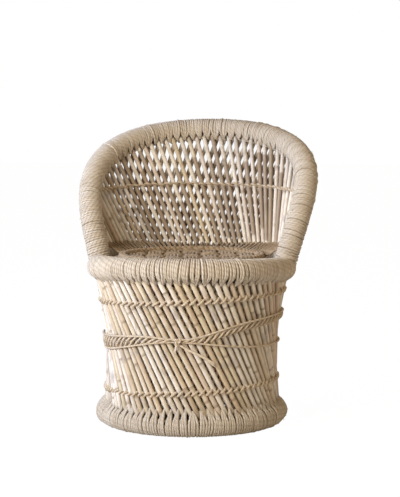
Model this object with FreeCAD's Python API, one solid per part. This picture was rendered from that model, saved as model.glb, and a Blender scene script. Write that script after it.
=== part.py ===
import FreeCAD, Part
import math
import os

# Child's chair of crossed reeds with rope-wrapped rims and a woven seat.
# Millimetres, +Z up, the front faces -Y. The origin is under the middle of the chair's box.

Vector = FreeCAD.Vector

# Lattice: straight reeds in two crossed layers, each layer a waisted ruled surface
WAIST_RADIUS = 136.5
WAIST_HEIGHT = 107.0
REED_SLOPE = 0.50
REED_DIAMETER = 8.4
REED_GAP = 1.25
BACK_REED_DIAMETER = 7.3
BACK_REED_GAP = 0.35
LAYER_CLEARANCE = 0.8
LAYER_STAGGER_SHARE = 0.25
TOP_SPREAD_SHARE = 1.1

# Rims: a hoop each side of the reeds and a grass bundle over their ends, all wrapped in rope
WRAP_THICKNESS = 3.0
HOOP_DIAMETER = 5.4
HOOP_DEPTH = 6.0
SLOT_CLEARANCE = 1.0
REED_END_CLEARANCE = 0.5
FLOOR_FLAT = 1.0
SEAT_RIM_HEIGHT = 272.0
SEAT_RIM_DIP = 10.0
BACK_RIM_HEIGHT = 492.0
ARM_ANGLE = 88.0
ARCH_WIDTH_POWER = 2.15
ARCH_HEIGHT_POWER = 1.85
SEAT_RIM_RUN_ON = 12.0
ARCH_STATIONS = 28
SEAT_RIM_STATIONS = 24

# Woven seat
SEAT_HOOP_DIAMETER = 10.0
SEAT_HOOP_DROP = 6.3
SEAT_BORDER_WIDTH = 15.0
SEAT_BORDER_THICKNESS = 4.0
SEAT_BRAID_DIAMETER = 13.0
SEAT_WEAVE_DROP = 1.0
SEAT_WEAVE_SAG = 2.0

# Twine bands tied over the reeds
BAND_HEIGHT = 9.0
BAND_THICKNESS = 3.0
LOWER_BAND_HEIGHT = 69.0
LOWER_BAND_RISE = 9.0
UPPER_BAND_DROP = 53.0
UPPER_BAND_RISE = 9.0
BACK_BAND_DROP = 102.0

# Waist lacing: two cords that rise to the right and meet in a knot, and two loose ends
WAIST_CORD_DIAMETER = 3.4
WAIST_BAND_HEIGHT = 172.0
WAIST_BAND_RISE = 20.0
WAIST_BAND_PULL_ANGLE = 24.0
WAIST_CORD_HEIGHT = 134.0
WAIST_CORD_RISE = 6.0
WAIST_CORD_PULL_ANGLE = 42.0
KNOT_HEIGHT = 158.0
KNOT_ANGLE = 0.5
KNOT_DIAMETER = 10.0
KNOT_LENGTH = 13.0
KNOT_ROUNDING = 2.0
CORD_SPREAD = 4.4
LOOP_STATIONS = 60
TAIL_DIAMETER = 2.6
LONG_TAIL_ROUTE = ((4.0, 6.7, 4.4), (12.0, 13.0, 3.8), (24.0, 18.5, 4.0), (39.0, 26.5, 3.4), (52.0, 36.5, 3.0))
SHORT_TAIL_ROUTE = ((-1.0, 5.6, 4.2), (-3.0, 11.0, 3.8), (-4.4, 16.6, 3.2))

# General clearances
SEAT_GAP = 0.3
OVERRUN = 5.0
PATH_SAMPLES = 240
SEARCH_STEP_SHARE = 0.4
BISECTIONS = 24
TUBE_SIDES = 6

# Derived sizes
reed_radius = REED_DIAMETER / 2
hoop_radius = HOOP_DIAMETER / 2
slot_half = REED_DIAMETER + LAYER_CLEARANCE / 2 + SLOT_CLEARANCE
hoop_side = slot_half + hoop_radius
wrap_bore = math.hypot(hoop_side, HOOP_DEPTH) + hoop_radius + SEAT_GAP
rim_radius = wrap_bore + WRAP_THICKNESS
base_rim_height = rim_radius - FLOOR_FLAT
arm_angle = math.radians(ARM_ANGLE)
lattice_height = BACK_RIM_HEIGHT - WAIST_HEIGHT
upper_band_height = SEAT_RIM_HEIGHT - UPPER_BAND_DROP
back_band_height = BACK_RIM_HEIGHT - BACK_BAND_DROP


def middle_radius(height):
    return math.hypot(WAIST_RADIUS, REED_SLOPE * (height - WAIST_HEIGHT))


top_radius = middle_radius(BACK_RIM_HEIGHT)
seat_rim_radius = middle_radius(SEAT_RIM_HEIGHT)
base_rim_radius = middle_radius(base_rim_height)
front_reach = -(seat_rim_radius + rim_radius)
back_reach = top_radius + rim_radius
axis_point = Vector(0, -(front_reach + back_reach) / 2, 0)
up = Vector(0, 0, 1)


def layer_shape(side, diameter=REED_DIAMETER):
    """Waist radius and slope of one layer of reeds: side is +1 for the outer layer, -1 for the inner."""
    layer_half = (diameter + LAYER_CLEARANCE) / 2
    waist = WAIST_RADIUS + side * layer_half
    top = top_radius + side * layer_half * TOP_SPREAD_SHARE
    slope = math.sqrt(top ** 2 - waist ** 2) / lattice_height
    return waist, slope


def layer_radius(side, height, diameter=REED_DIAMETER):
    waist, slope = layer_shape(side, diameter)
    return math.hypot(waist, slope * (height - WAIST_HEIGHT))


def place(angle, radius, height):
    """A point by its angle from the back, positive towards +X."""
    return axis_point + Vector(radius * math.sin(angle), radius * math.cos(angle), height)


def surface_normal(angle, height):
    """Outward normal of the lattice's middle surface."""
    flare = math.atan(REED_SLOPE ** 2 * (height - WAIST_HEIGHT) / middle_radius(height))
    level = math.cos(flare)
    return Vector(level * math.sin(angle), level * math.cos(angle), -math.sin(flare))


def seat_rim_height(angle):
    """Height of the front rim's middle line, which dips from the front towards the arms."""
    return SEAT_RIM_HEIGHT - SEAT_RIM_DIP * (1 + math.cos(angle))


arm_height = seat_rim_height(arm_angle)


def arch_height(share):
    """Height of the back rim's middle line at a share of the arm angle."""
    rise = (1 - abs(share) ** ARCH_WIDTH_POWER) ** (1 / ARCH_HEIGHT_POWER)
    return arm_height + (BACK_RIM_HEIGHT - arm_height) * rise


def arch_point(turn):
    """A point of the back rim's middle line: turn runs from -1 at one arm to 1 at the other."""
    share = math.sin(turn * math.pi / 2)
    height = arch_height(share)
    angle = share * arm_angle
    return angle, height, place(angle, middle_radius(height), height)


def arch_frame(turn):
    """Middle point, outward side, and the direction into the wall at one place of the arch."""
    step = 1 / PATH_SAMPLES
    angle, height, point = arch_point(turn)
    before = arch_point(max(turn - step, -1))[2]
    after = arch_point(min(turn + step, 1))[2]
    tangent = (after - before).normalize()
    normal = surface_normal(angle, height)
    side = (normal - tangent * normal.dot(tangent)).normalize()
    return point, side, side.cross(tangent)


def ring_frame(angle, height, wall_direction):
    """The same three values on a level rim: wall_direction is +1 where the wall is above it."""
    point = place(angle, middle_radius(height), height)
    normal = surface_normal(angle, height)
    around = Vector(math.cos(angle), -math.sin(angle), 0)
    return point, normal, around.cross(normal) * wall_direction


def in_section(frame, side, depth):
    point, normal, inward = frame
    return point + normal * side + inward * depth


# Sections of a rim

def arc_through(frame, radius, start, end):
    angles = (start, (start + end) / 2, end)
    points = [in_section(frame, radius * math.sin(a), radius * math.cos(a)) for a in angles]
    return Part.Arc(*points).toShape()


def wrap_section(frame):
    """Ring of rope with a slot towards the wall."""
    outer_start = math.asin(slot_half / rim_radius)
    inner_start = math.asin(slot_half / wrap_bore)
    full = 2 * math.pi
    edges = [arc_through(frame, rim_radius, outer_start, math.pi),
             arc_through(frame, rim_radius, math.pi, full - outer_start)]
    slot_left = in_section(frame, -slot_half, rim_radius * math.cos(outer_start))
    slot_left_inner = in_section(frame, -slot_half, wrap_bore * math.cos(inner_start))
    edges.append(Part.LineSegment(slot_left, slot_left_inner).toShape())
    edges += [arc_through(frame, wrap_bore, full - inner_start, math.pi),
              arc_through(frame, wrap_bore, math.pi, inner_start)]
    slot_right_inner = in_section(frame, slot_half, wrap_bore * math.cos(inner_start))
    slot_right = in_section(frame, slot_half, rim_radius * math.cos(outer_start))
    edges.append(Part.LineSegment(slot_right_inner, slot_right).toShape())
    return Part.Wire(edges)


def bundle_section(frame):
    """Half disc of grass that fills the rim behind the reed ends."""
    radius = wrap_bore - SEAT_GAP
    edges = [arc_through(frame, radius, math.pi / 2, math.pi),
             arc_through(frame, radius, math.pi, 3 * math.pi / 2)]
    edges.append(Part.LineSegment(in_section(frame, -radius, 0), in_section(frame, radius, 0)).toShape())
    return Part.Wire(edges)


def hoop_section(frame, side):
    point, normal, inward = frame
    centre = in_section(frame, side * hoop_side, HOOP_DEPTH)
    return Part.Wire([Part.Circle(centre, normal.cross(inward), hoop_radius).toShape()])


def outer_hoop_section(frame):
    return hoop_section(frame, 1)


def inner_hoop_section(frame):
    return hoop_section(frame, -1)


rim_sections = {"rim_wrap": wrap_section, "rim_bundle": bundle_section,
                "outer_hoop": outer_hoop_section, "inner_hoop": inner_hoop_section}


def revolved(wire, degrees):
    return Part.Face(wire).revolve(axis_point, up, degrees)


# Nodes are gathered here and written at the end
nodes = {}

# Base rim, wall above, cut flat where it stands
floor_size = 2 * (base_rim_radius + rim_radius + OVERRUN)
below_floor = Part.makeBox(floor_size, floor_size, rim_radius,
                           axis_point + Vector(-floor_size / 2, -floor_size / 2, -rim_radius))
base_frame = ring_frame(0, base_rim_height, 1)
for name, section in rim_sections.items():
    nodes["base_" + name] = [revolved(section(base_frame), 360)]
nodes["base_rim_wrap"] = [nodes["base_rim_wrap"][0].cut(below_floor)]

# Seat rim, wall below, round the front from behind one arm to behind the other

def seat_rim_frames(end, count):
    """Frames along the front rim between two angles that lie end away from the back."""
    frames = []
    for i in range(count + 1):
        angle = end + 2 * (math.pi - end) * i / count
        frames.append(ring_frame(angle, seat_rim_height(angle), -1))
    return frames


rim_end = arm_angle - SEAT_RIM_RUN_ON / seat_rim_radius
seat_stations = seat_rim_frames(rim_end, SEAT_RIM_STATIONS)
for name, section in rim_sections.items():
    nodes["seat_" + name] = [Part.makeLoft([section(frame) for frame in seat_stations], True, False)]

# Back rim and arms, one arch that lands on the seat rim at both ends
landing_end = rim_end - SEAT_GAP / seat_rim_radius
landing_sections = []
for frame in seat_rim_frames(landing_end, SEAT_RIM_STATIONS):
    landing_sections.append(Part.Wire([arc_through(frame, rim_radius + SEAT_GAP, 0, math.pi),
                                       arc_through(frame, rim_radius + SEAT_GAP, math.pi, 2 * math.pi)]))
landing = Part.makeLoft(landing_sections, True, False)
stations = [arch_frame(2 * i / ARCH_STATIONS - 1) for i in range(ARCH_STATIONS + 1)]
for name, section in rim_sections.items():
    arch = Part.makeLoft([section(frame) for frame in stations], True, False)
    trimmed = arch.cut(landing)
    nodes["back_" + name] = [max(trimmed.Solids, key=lambda solid: solid.Volume)]

# Reeds: each is one straight cylinder, seated in the base rim and in the rim that it meets above
arch_path = [arch_frame(2 * i / PATH_SAMPLES - 1) for i in range(PATH_SAMPLES + 1)]
path_end = rim_end - reed_radius / seat_rim_radius
upper_path = arch_path + seat_rim_frames(path_end, PATH_SAMPLES)


def nearest_frame(point):
    return min(upper_path, key=lambda frame: (point - frame[0]).Length)


def depth_under_rim(point):
    """How far a point lies inside the wall from the nearest rim's middle line."""
    rim_point, side, inward = nearest_frame(point)
    offset = point - rim_point
    past_end = abs(offset.dot(side.cross(inward)))
    if offset.Length > 2 * rim_radius or past_end > reed_radius:
        return 2 * rim_radius
    return offset.dot(inward)


def swing(layer, diameter, height):
    """Angle that a reed turns through from the waist up to a height: the layers turn opposite ways."""
    waist, slope = layer_shape(layer, diameter)
    return layer * math.atan(slope * (height - WAIST_HEIGHT) / waist)


def reed_axis_point(layer, diameter, turn, height):
    """A point on the middle line of a reed that crosses the waist at a given turn from the back."""
    return place(turn + swing(layer, diameter, height), layer_radius(layer, height, diameter), height)


def reed_top(layer, diameter, turn):
    """Height where a reed comes within reach of a rim's middle line."""
    reach = diameter / 2 + REED_END_CLEARANCE
    step = rim_radius * SEARCH_STEP_SHARE
    low = WAIST_HEIGHT
    while depth_under_rim(reed_axis_point(layer, diameter, turn, low + step)) > reach:
        low += step
    high = low + step
    for i in range(BISECTIONS):
        middle = (low + high) / 2
        if depth_under_rim(reed_axis_point(layer, diameter, turn, middle)) > reach:
            low = middle
        else:
            high = middle
    return low


def reed(layer, diameter, turn):
    start = reed_axis_point(layer, diameter, turn, base_rim_height + diameter / 2 + REED_END_CLEARANCE)
    end = reed_axis_point(layer, diameter, turn, reed_top(layer, diameter, turn))
    return Part.makeCylinder(diameter / 2, (end - start).Length, start, end - start)


def reed_turns(layer, diameter, gap, first, last):
    """Evenly spaced reeds of one layer that pass the seat rim's height between two angles."""
    waist, slope = layer_shape(-1, diameter)
    room = (last - first) * waist * math.cos(math.atan(slope))
    count = int(room / (diameter + gap))
    stagger = 0.5 - layer * LAYER_STAGGER_SHARE
    turned = swing(layer, diameter, SEAT_RIM_HEIGHT)
    return [first + (last - first) * (k + stagger) / count - turned for k in range(count)]


# Slim reeds stand close in the back, and stout ones with wider gaps in the front
reed_kinds = ((BACK_REED_DIAMETER, BACK_REED_GAP, -arm_angle, arm_angle),
              (REED_DIAMETER, REED_GAP, arm_angle, 2 * math.pi - arm_angle))
quarters = ("back", "right", "front", "left")
for layer, layer_name in ((1, "outer"), (-1, "inner")):
    for quarter in quarters:
        nodes[layer_name + "_reeds_" + quarter] = []
    for diameter, gap, first, last in reed_kinds:
        for turn in reed_turns(layer, diameter, gap, first, last):
            quarter = quarters[int(round(turn / (math.pi / 2))) % len(quarters)]
            nodes[layer_name + "_reeds_" + quarter].append(reed(layer, diameter, turn))


# Twine bands, one strip on each face of the lattice

def face_frame(layer, angle, height, standoff, diameter=REED_DIAMETER):
    """Point at a distance off a layer's outside, with the surface's outward and upward directions."""
    normal = surface_normal(angle, height)
    around = Vector(math.cos(angle), -math.sin(angle), 0)
    seat = place(angle, layer_radius(layer, height, diameter), height)
    return seat + normal * (layer * (diameter / 2 + SEAT_GAP + standoff)), normal, around.cross(normal)


def band_section(layer, angle, height, standoff, diameter=REED_DIAMETER):
    frame = face_frame(layer, angle, height, BAND_THICKNESS / 2 + standoff, diameter)
    corners = []
    for side, rise in ((-1, -1), (1, -1), (1, 1), (-1, 1)):
        corners.append(in_section(frame, side * BAND_THICKNESS / 2, rise * BAND_HEIGHT / 2))
    return Part.makePolygon(corners + corners[:1])


def chord_sag(height):
    """How far a straight stretch between two stations of a loop lies inside the round."""
    return layer_radius(1, height) * (1 - math.cos(math.pi / LOOP_STATIONS))


def tilted_band(layer, height, rise):
    """A band right round the lattice, higher on the right, whose ends meet at the back."""
    gap = SEAT_GAP / layer_radius(layer, height)
    sections = []
    for i in range(LOOP_STATIONS + 1):
        angle = gap + (2 * math.pi - 2 * gap) * i / LOOP_STATIONS
        sections.append(band_section(layer, angle, height + rise * math.sin(angle), chord_sag(height)))
    return Part.makeLoft(sections, True, True)


def back_band_angle():
    """Widest angle at which the back band still clears the arms' wrapping."""
    angle = arm_angle
    step = SEAT_GAP / seat_rim_radius
    clear = rim_radius + SEAT_GAP
    while True:
        gaps = []
        for rise in (-BAND_HEIGHT / 2, BAND_HEIGHT / 2):
            height = back_band_height + rise
            point = place(angle, middle_radius(height), height)
            gaps.append(min((point - frame[0]).Length for frame in arch_path))
        inside = back_band_height < arch_height(angle / arm_angle)
        if inside and min(gaps) > clear:
            return angle
        angle -= step


back_band_end = back_band_angle()
for layer, face in ((1, "outer"), (-1, "inner")):
    nodes["lower_band_" + face] = [tilted_band(layer, LOWER_BAND_HEIGHT, LOWER_BAND_RISE)]
    nodes["upper_band_" + face] = [tilted_band(layer, upper_band_height, UPPER_BAND_RISE)]
    back_section = band_section(layer, back_band_end, back_band_height, 0, BACK_REED_DIAMETER)
    nodes["back_band_" + face] = [revolved(back_section, math.degrees(2 * back_band_end))]

# Waist lacing
front = math.pi
knot_turn = front - math.radians(KNOT_ANGLE)
cord_radius = WAIST_CORD_DIAMETER / 2
knot_radius = KNOT_DIAMETER / 2


def knot_pull(angle, reach):
    """1 at the knot, fading to 0 away from it over an angle in degrees."""
    away = math.degrees(angle - knot_turn)
    away = (away + 180) % 360 - 180
    return math.exp(-(away / reach) ** 2)


def waist_band_height(angle):
    free = WAIST_BAND_HEIGHT + WAIST_BAND_RISE * math.sin(angle)
    pull = knot_pull(angle, WAIST_BAND_PULL_ANGLE)
    return free * (1 - pull) + (KNOT_HEIGHT + CORD_SPREAD / 2) * pull


def waist_cord_height(angle):
    free = WAIST_CORD_HEIGHT + WAIST_CORD_RISE * math.sin(angle)
    pull = knot_pull(angle, WAIST_CORD_PULL_ANGLE)
    return free * (1 - pull) + (KNOT_HEIGHT - CORD_SPREAD / 2) * pull


def tied_loop(height_at):
    """A cord round the waist that starts and ends at the knot."""
    gap = (KNOT_LENGTH / 2 + SEAT_GAP) / layer_radius(1, KNOT_HEIGHT)
    sections = []
    for i in range(LOOP_STATIONS + 1):
        angle = knot_turn + gap + (2 * math.pi - 2 * gap) * i / LOOP_STATIONS
        frame = face_frame(1, angle, height_at(angle), cord_radius + chord_sag(KNOT_HEIGHT))
        corners = []
        for k in range(TUBE_SIDES):
            around = 2 * math.pi * k / TUBE_SIDES
            corners.append(in_section(frame, cord_radius * math.cos(around), cord_radius * math.sin(around)))
        sections.append(Part.makePolygon(corners + corners[:1]))
    return Part.makeLoft(sections, True, True)


nodes["waist_band"] = [tied_loop(waist_band_height)]
nodes["waist_cord"] = [tied_loop(waist_cord_height)]

knot_point, knot_out, knot_up = face_frame(1, knot_turn, KNOT_HEIGHT, knot_radius)
knot_along = knot_out.cross(knot_up)
knot = Part.makeCylinder(knot_radius, KNOT_LENGTH, knot_point - knot_along * (KNOT_LENGTH / 2), knot_along)
rims = [edge for edge in knot.Edges if len(edge.Vertexes) == 1]
nodes["waist_knot"] = [knot.makeFillet(KNOT_ROUNDING, rims)]


def tail(name, route):
    """Loose end: straight runs joined by the largest tangent arcs that they allow."""
    run_share = 0.45
    points = []
    for along, drop, standoff in route:
        height = KNOT_HEIGHT - drop
        angle = knot_turn - along / layer_radius(1, height)
        points.append(face_frame(1, angle, height, standoff)[0])
    edges = []
    start = points[0]
    radii = []
    for before, corner, after in zip(points, points[1:], points[2:]):
        into = (corner - before)
        out = (after - corner)
        shorter = min(into.Length, out.Length)
        into.normalize()
        out.normalize()
        half_turn = into.getAngle(out) / 2
        radius = run_share * shorter / math.tan(half_turn)
        radii.append(round(radius, 1))
        arc_start = corner - into * (run_share * shorter)
        arc_end = corner + out * (run_share * shorter)
        bisector = (out - into).normalize()
        arc_middle = corner + bisector * (radius / math.cos(half_turn) - radius)
        edges.append(Part.LineSegment(start, arc_start).toShape())
        edges.append(Part.Arc(arc_start, arc_middle, arc_end).toShape())
        start = arc_end
    edges.append(Part.LineSegment(start, points[-1]).toShape())
    path = Part.Wire(edges)
    section = Part.Wire([Part.Circle(points[0], points[1] - points[0], TAIL_DIAMETER / 2).toShape()])
    solid = path.makePipeShell([section], True, False)
    expected = math.pi * (TAIL_DIAMETER / 2) ** 2 * path.Length
    print(name, "length", round(path.Length, 1), "bend radii", radii,
          "volume against section times length", round(solid.Volume / expected, 4))
    print(name, "points", [(round(p.x, 2), round(p.y, 2), round(p.z, 2)) for p in points])
    return solid


nodes["waist_tail_long"] = [tail("waist_tail_long", LONG_TAIL_ROUTE)]
nodes["waist_tail_short"] = [tail("waist_tail_short", SHORT_TAIL_ROUTE)]

# Woven seat: a cane hoop inside the front rim carries the border, the braided edge and the woven middle
seat_hoop_height = SEAT_RIM_HEIGHT - SEAT_HOOP_DROP
seat_hoop_clear = rim_radius + SEAT_GAP + SEAT_HOOP_DIAMETER / 2


def hoop_radius_inside(height):
    """Largest radius of the seat's hoop where the rim beside it has its middle at a height."""
    return middle_radius(height) - math.sqrt(seat_hoop_clear ** 2 - (seat_hoop_height - height) ** 2)


rim_end_height = seat_rim_height(rim_end)
seat_hoop_radius = min(hoop_radius_inside(rim_end_height), hoop_radius_inside(SEAT_RIM_HEIGHT))
braid_radius = SEAT_BRAID_DIAMETER / 2
braid_ring_radius = seat_hoop_radius - SEAT_BORDER_WIDTH
border_bottom = seat_hoop_height + SEAT_HOOP_DIAMETER / 2 + SEAT_GAP
border_top = border_bottom + SEAT_BORDER_THICKNESS
border_radius = middle_radius(rim_end_height) - rim_radius - SEAT_GAP
braid_height = border_top + SEAT_GAP + braid_radius
weave_radius = braid_ring_radius - braid_radius - SEAT_GAP
weave_top = braid_height + braid_radius - SEAT_WEAVE_DROP
nodes["seat_hoop"] = [Part.makeTorus(seat_hoop_radius, SEAT_HOOP_DIAMETER / 2,
                                     axis_point + up * seat_hoop_height, up)]
nodes["seat_edge_braid"] = [Part.makeTorus(braid_ring_radius, braid_radius, axis_point + up * braid_height, up)]


def woven_section():
    """Half section of the seat: a sagging middle that drops to the flat border under the braid."""
    corners = [place(0, weave_radius, weave_top), place(0, weave_radius, border_top),
               place(0, border_radius, border_top), place(0, border_radius, border_bottom),
               axis_point + up * border_bottom, axis_point + up * (weave_top - SEAT_WEAVE_SAG)]
    between = place(0, weave_radius * math.sqrt(0.5), weave_top - SEAT_WEAVE_SAG / 2)
    edges = [Part.Arc(corners[-1], between, corners[0]).toShape()]
    for start, end in zip(corners, corners[1:]):
        edges.append(Part.LineSegment(start, end).toShape())
    return Part.Wire(edges)


nodes["seat_weave"] = [revolved(woven_section(), 360)]

# Write one file for each node
os.makedirs("parts", exist_ok=True)
for name, solids in nodes.items():
    shape = solids[0] if len(solids) == 1 else Part.makeCompound(solids)
    if not shape.isValid() or min(solid.Volume for solid in solids) <= 0:
        raise ValueError(name + " is not a sound solid")
    shape.exportStep("parts/" + name + ".step")
    print(name, len(solids), "solids", round(sum(solid.Volume for solid in solids)), "mm3")
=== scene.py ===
import math
import random
from collections import namedtuple

import bmesh
import bpy
import numpy as np
from mathutils import Matrix, Vector


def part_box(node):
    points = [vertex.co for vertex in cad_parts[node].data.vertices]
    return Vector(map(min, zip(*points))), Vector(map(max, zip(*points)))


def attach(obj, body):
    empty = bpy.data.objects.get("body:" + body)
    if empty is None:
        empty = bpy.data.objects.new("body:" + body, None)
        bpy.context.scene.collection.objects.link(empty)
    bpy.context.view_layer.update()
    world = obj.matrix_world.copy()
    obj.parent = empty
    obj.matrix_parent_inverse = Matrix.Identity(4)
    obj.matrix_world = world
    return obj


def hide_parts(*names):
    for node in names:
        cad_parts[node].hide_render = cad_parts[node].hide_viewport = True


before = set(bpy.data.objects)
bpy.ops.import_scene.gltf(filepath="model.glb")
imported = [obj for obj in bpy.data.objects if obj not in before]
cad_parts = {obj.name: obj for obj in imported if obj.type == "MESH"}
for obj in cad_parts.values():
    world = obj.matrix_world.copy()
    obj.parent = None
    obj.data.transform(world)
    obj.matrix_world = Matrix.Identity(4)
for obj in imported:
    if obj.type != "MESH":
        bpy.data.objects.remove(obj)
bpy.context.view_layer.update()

# Child's chair of crossed reeds and wound rope, in metres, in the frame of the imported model

FULL_TURN = 2 * math.pi
WHOLE_TURN = (0, FULL_TURN)
LAYERS = {"outer": 1, "inner": -1}
UP = Vector((0, 0, 1))

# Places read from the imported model
base_low, base_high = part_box("base_rim_wrap")
axis = Vector((0, (base_low.y + base_high.y) / 2, 0))
braid_low, braid_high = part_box("seat_edge_braid")
braid_radius = (braid_high.z - braid_low.z) / 2
braid_ring_radius = (braid_high.x - braid_low.x) / 2 - braid_radius
braid_height = (braid_high.z + braid_low.z) / 2

# Lattice and rims, as in the part's source
RIM_RADIUS = 0.01987
FLOOR_FLAT = 0.001
WAIST_RADIUS = 0.1365
WAIST_HEIGHT = 0.107
REED_SLOPE = 0.50
REED_DIAMETER = 0.0084
REED_GAP = 0.00125
BACK_REED_DIAMETER = 0.0073
BACK_REED_GAP = 0.00035
LAYER_CLEARANCE = 0.0008
LAYER_STAGGER_SHARE = 0.25
TOP_SPREAD_SHARE = 1.1
SEAT_RIM_HEIGHT = 0.272
SEAT_RIM_DIP = 0.010
BACK_RIM_HEIGHT = 0.492
ARM_ANGLE = math.radians(88.0)
ARCH_WIDTH_POWER = 2.15
ARCH_HEIGHT_POWER = 1.85
SEAT_RIM_RUN_ON = 0.012
REED_END_CLEARANCE = 0.0005
PATH_SAMPLES = 400
base_rim_height = RIM_RADIUS - FLOOR_FLAT

# Bands and lacing, as in the part's source
LOWER_BAND_HEIGHT = 0.069
LOWER_BAND_RISE = 0.009
UPPER_BAND_HEIGHT = 0.219
UPPER_BAND_RISE = 0.009
BACK_BAND_HEIGHT = 0.390
WAIST_BAND_HEIGHT = 0.172
WAIST_BAND_RISE = 0.020
WAIST_BAND_PULL_ANGLE = math.radians(24.0)
WAIST_CORD_HEIGHT = 0.134
WAIST_CORD_RISE = 0.006
WAIST_CORD_PULL_ANGLE = math.radians(42.0)
KNOT_HEIGHT = 0.158
KNOT_ANGLE = math.pi - math.radians(0.5)
CORD_SPREAD = 0.0044
CORD_RADIUS = 0.0017
TAIL_DIAMETER = 0.0026
LONG_TAIL_ROUTE = ((0.00557, -0.18989, 0.15059), (0.01399, -0.18829, 0.14443),
                   (0.02661, -0.18642, 0.13900), (0.04191, -0.18179, 0.13115),
                   (0.05474, -0.17660, 0.12130))
SHORT_TAIL_ROUTE = ((0.00026, -0.18989, 0.15169), (-0.00186, -0.18907, 0.14640),
                    (-0.00333, -0.18807, 0.14092))
LONG_TAIL_LENGTH = 0.0590
SHORT_TAIL_LENGTH = 0.0115


# The wall: a layer is +1 for the outer reeds and -1 for the inner ones

def middle_radius(height):
    """Radius of the wall midway between the two layers of reeds."""
    return math.hypot(WAIST_RADIUS, REED_SLOPE * (height - WAIST_HEIGHT))


def layer_shape(layer, diameter):
    """Waist radius and slope of a layer of reeds."""
    rise = BACK_RIM_HEIGHT - WAIST_HEIGHT
    layer_half = (diameter + LAYER_CLEARANCE) / 2
    waist = WAIST_RADIUS + layer * layer_half
    top = middle_radius(BACK_RIM_HEIGHT) + layer * layer_half * TOP_SPREAD_SHARE
    return waist, math.sqrt(top ** 2 - waist ** 2) / rise


def layer_radius(layer, height, diameter):
    waist, slope = layer_shape(layer, diameter)
    return math.hypot(waist, slope * (height - WAIST_HEIGHT))


def place(angle, radius, height):
    """A point by its angle from the back, positive towards +X."""
    return axis + Vector((radius * math.sin(angle), radius * math.cos(angle), height))


def onward(angle):
    """The level direction in which angles grow."""
    return Vector((math.cos(angle), -math.sin(angle), 0))


def surface_normal(angle, height):
    """The direction straight out of the wall."""
    flare = math.atan(REED_SLOPE ** 2 * (height - WAIST_HEIGHT) / middle_radius(height))
    level = math.cos(flare)
    return Vector((level * math.sin(angle), level * math.cos(angle), -math.sin(flare)))


def from_back(angle):
    """The same angle between half a turn left and half a turn right of the back."""
    return (angle + math.pi) % FULL_TURN - math.pi


def swing(layer, diameter, height):
    """Angle that a reed turns through from the waist up to a height."""
    waist, slope = layer_shape(layer, diameter)
    return layer * math.atan(slope * (height - WAIST_HEIGHT) / waist)


def reed_size(layer, angle, height):
    """Reeds are slim where they run up into the back, and stout elsewhere."""
    at_rim = angle + swing(layer, REED_DIAMETER, SEAT_RIM_HEIGHT) - swing(layer, REED_DIAMETER, height)
    return BACK_REED_DIAMETER if abs(from_back(at_rim)) < ARM_ANGLE else REED_DIAMETER


def face_point(layer, angle, height, proud):
    """A point at a distance off the faces of a layer's reeds, away from the wall."""
    size = reed_size(layer, angle, height)
    middle = place(angle, layer_radius(layer, height, size), height)
    return middle + surface_normal(angle, height) * (layer * (size / 2 + proud))


# Rim middle lines

RimLine = namedtuple("RimLine", "points side inward along")


def rim_line(frames):
    """Middle points, outward sides, directions into the wall, and lengths along a rim."""
    points, side, inward = (np.array(column) for column in zip(*frames))
    steps = np.linalg.norm(np.diff(points, axis=0), axis=1)
    return RimLine(points, side, inward, np.concatenate(([0], np.cumsum(steps))))


def level_frame(angle, height, wall_direction):
    """Middle point, side and direction into the wall of the base rim or the front rim."""
    normal = surface_normal(angle, height)
    into_wall = onward(angle).cross(normal) * wall_direction
    return place(angle, middle_radius(height), height), normal, into_wall


def seat_rim_height(angle):
    """The front rim dips from the front towards the arms."""
    return SEAT_RIM_HEIGHT - SEAT_RIM_DIP * (1 + math.cos(angle))


arm_height = seat_rim_height(ARM_ANGLE)


def arch_place(turn):
    """Angle, height and middle point of the back rim, from turn -1 at the left arm to 1 at the right."""
    share = math.sin(turn * math.pi / 2)
    rise = max(0, 1 - abs(share) ** ARCH_WIDTH_POWER) ** (1 / ARCH_HEIGHT_POWER)
    height = arm_height + (BACK_RIM_HEIGHT - arm_height) * rise
    return share * ARM_ANGLE, height, place(share * ARM_ANGLE, middle_radius(height), height)


def arch_frame(turn):
    """Middle point, side and direction into the wall of the back rim."""
    step = 1 / PATH_SAMPLES
    angle, height, point = arch_place(turn)
    tangent = (arch_place(min(turn + step, 1))[2] - arch_place(max(turn - step, -1))[2]).normalized()
    normal = surface_normal(angle, height)
    side = (normal - tangent * normal.dot(tangent)).normalized()
    return point, side, side.cross(tangent)


samples = range(PATH_SAMPLES + 1)
base_line = rim_line([level_frame(FULL_TURN * i / PATH_SAMPLES, base_rim_height, 1) for i in samples])
seat_end = ARM_ANGLE - SEAT_RIM_RUN_ON / middle_radius(SEAT_RIM_HEIGHT)
seat_angles = [seat_end + 2 * (math.pi - seat_end) * i / PATH_SAMPLES for i in samples]
seat_line = rim_line([level_frame(angle, seat_rim_height(angle), -1) for angle in seat_angles])
arch_turns = [2 * i / PATH_SAMPLES - 1 for i in samples]
back_line = rim_line([arch_frame(turn) for turn in arch_turns])


def along_rim(line, along, side, inward):
    """Points at given lengths along a rim, and offsets in its section."""
    def blend(rows):
        return np.stack([np.interp(along, line.along, rows[:, k]) for k in range(3)], axis=1)
    return blend(line.points) + blend(line.side) * side[:, None] + blend(line.inward) * inward[:, None]


def nearest_on(line, point):
    """Length along a rim, depth into the wall, and distance of a point beside it."""
    offsets = np.array(point) - line.points
    nearest = int(np.argmin((offsets ** 2).sum(axis=1)))
    depth = float(offsets[nearest] @ line.inward[nearest])
    return line.along[nearest], depth, float(np.linalg.norm(offsets[nearest]))


# Reeds of both layers: the angle at which each passes the waist, and where it ends

Reed = namedtuple("Reed", "layer diameter turn top", defaults=(None,))
SEARCH_STEP = 0.008
BISECTIONS = 12
BESIDE_RIM = 2 * RIM_RADIUS


def reed_angle(reed, height):
    return reed.turn + swing(reed.layer, reed.diameter, height)


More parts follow.
